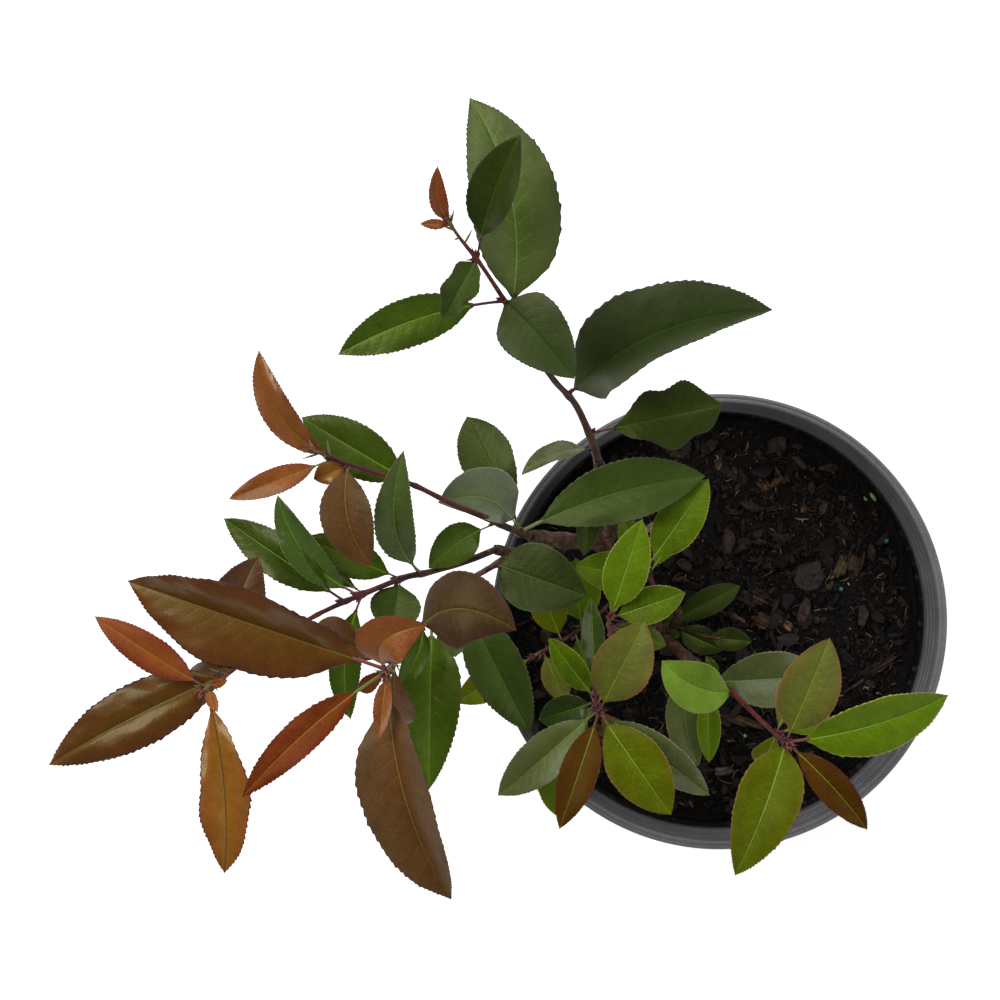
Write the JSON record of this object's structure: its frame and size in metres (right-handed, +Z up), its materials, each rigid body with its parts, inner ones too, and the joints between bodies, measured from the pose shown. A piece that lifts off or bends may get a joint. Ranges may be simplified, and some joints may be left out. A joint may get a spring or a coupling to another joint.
{
  "type": "potted photinia shrub",
  "caption": "Young evergreen shrub in a round nursery pot, leaning out over the rim, with serrated leaves in green, copper and bronze.",
  "frame": {"origin": "centre of the pot's flat underside", "axes": "+Z up through the pot's axis, -X to the side where the crown leans out over the rim, +Y to the side that the long shoot points to"},
  "size_m": [0.3731, 0.3075, 0.4338],
  "materials": {
    "pot_plastic": "moulded black plastic, satin, with fine turned ridges under the rim",
    "soil_mix": "moist dark potting mix with bark chips and fibres",
    "bark": "grey-brown to dark red bark with knots",
    "leaf_green": "leathery dark green leaf with a grey sheen",
    "leaf_fresh": "waxy light green leaf",
    "leaf_bronze": "glossy brown-red leaf",
    "leaf_copper": "glossy orange-red young leaf"
  },
  "bodies": {
    "root": {"pot": "pot_plastic", "soil": "soil_mix", "trunk": "bark", "left_bough": "bark", "top_bough": "bark", "fork_bough": "bark", "front_bough": "bark", "middle_bough": "bark", "right_bough": "bark", "back_bough": "bark", "long_shoot": "leaf_green", "copper_shoot": "leaf_copper", "bronze_shoot": "leaf_bronze", "tall_shoot": "leaf_bronze", "front_shoot": "leaf_fresh", "middle_shoot": "leaf_fresh", "back_shoot": "leaf_fresh", "right_shoot": "leaf_fresh", "low_right_shoot": "leaf_fresh", "floor_shoot": "leaf_green", "low_left_shoot": "leaf_green"}
  },
  "joints": []
}
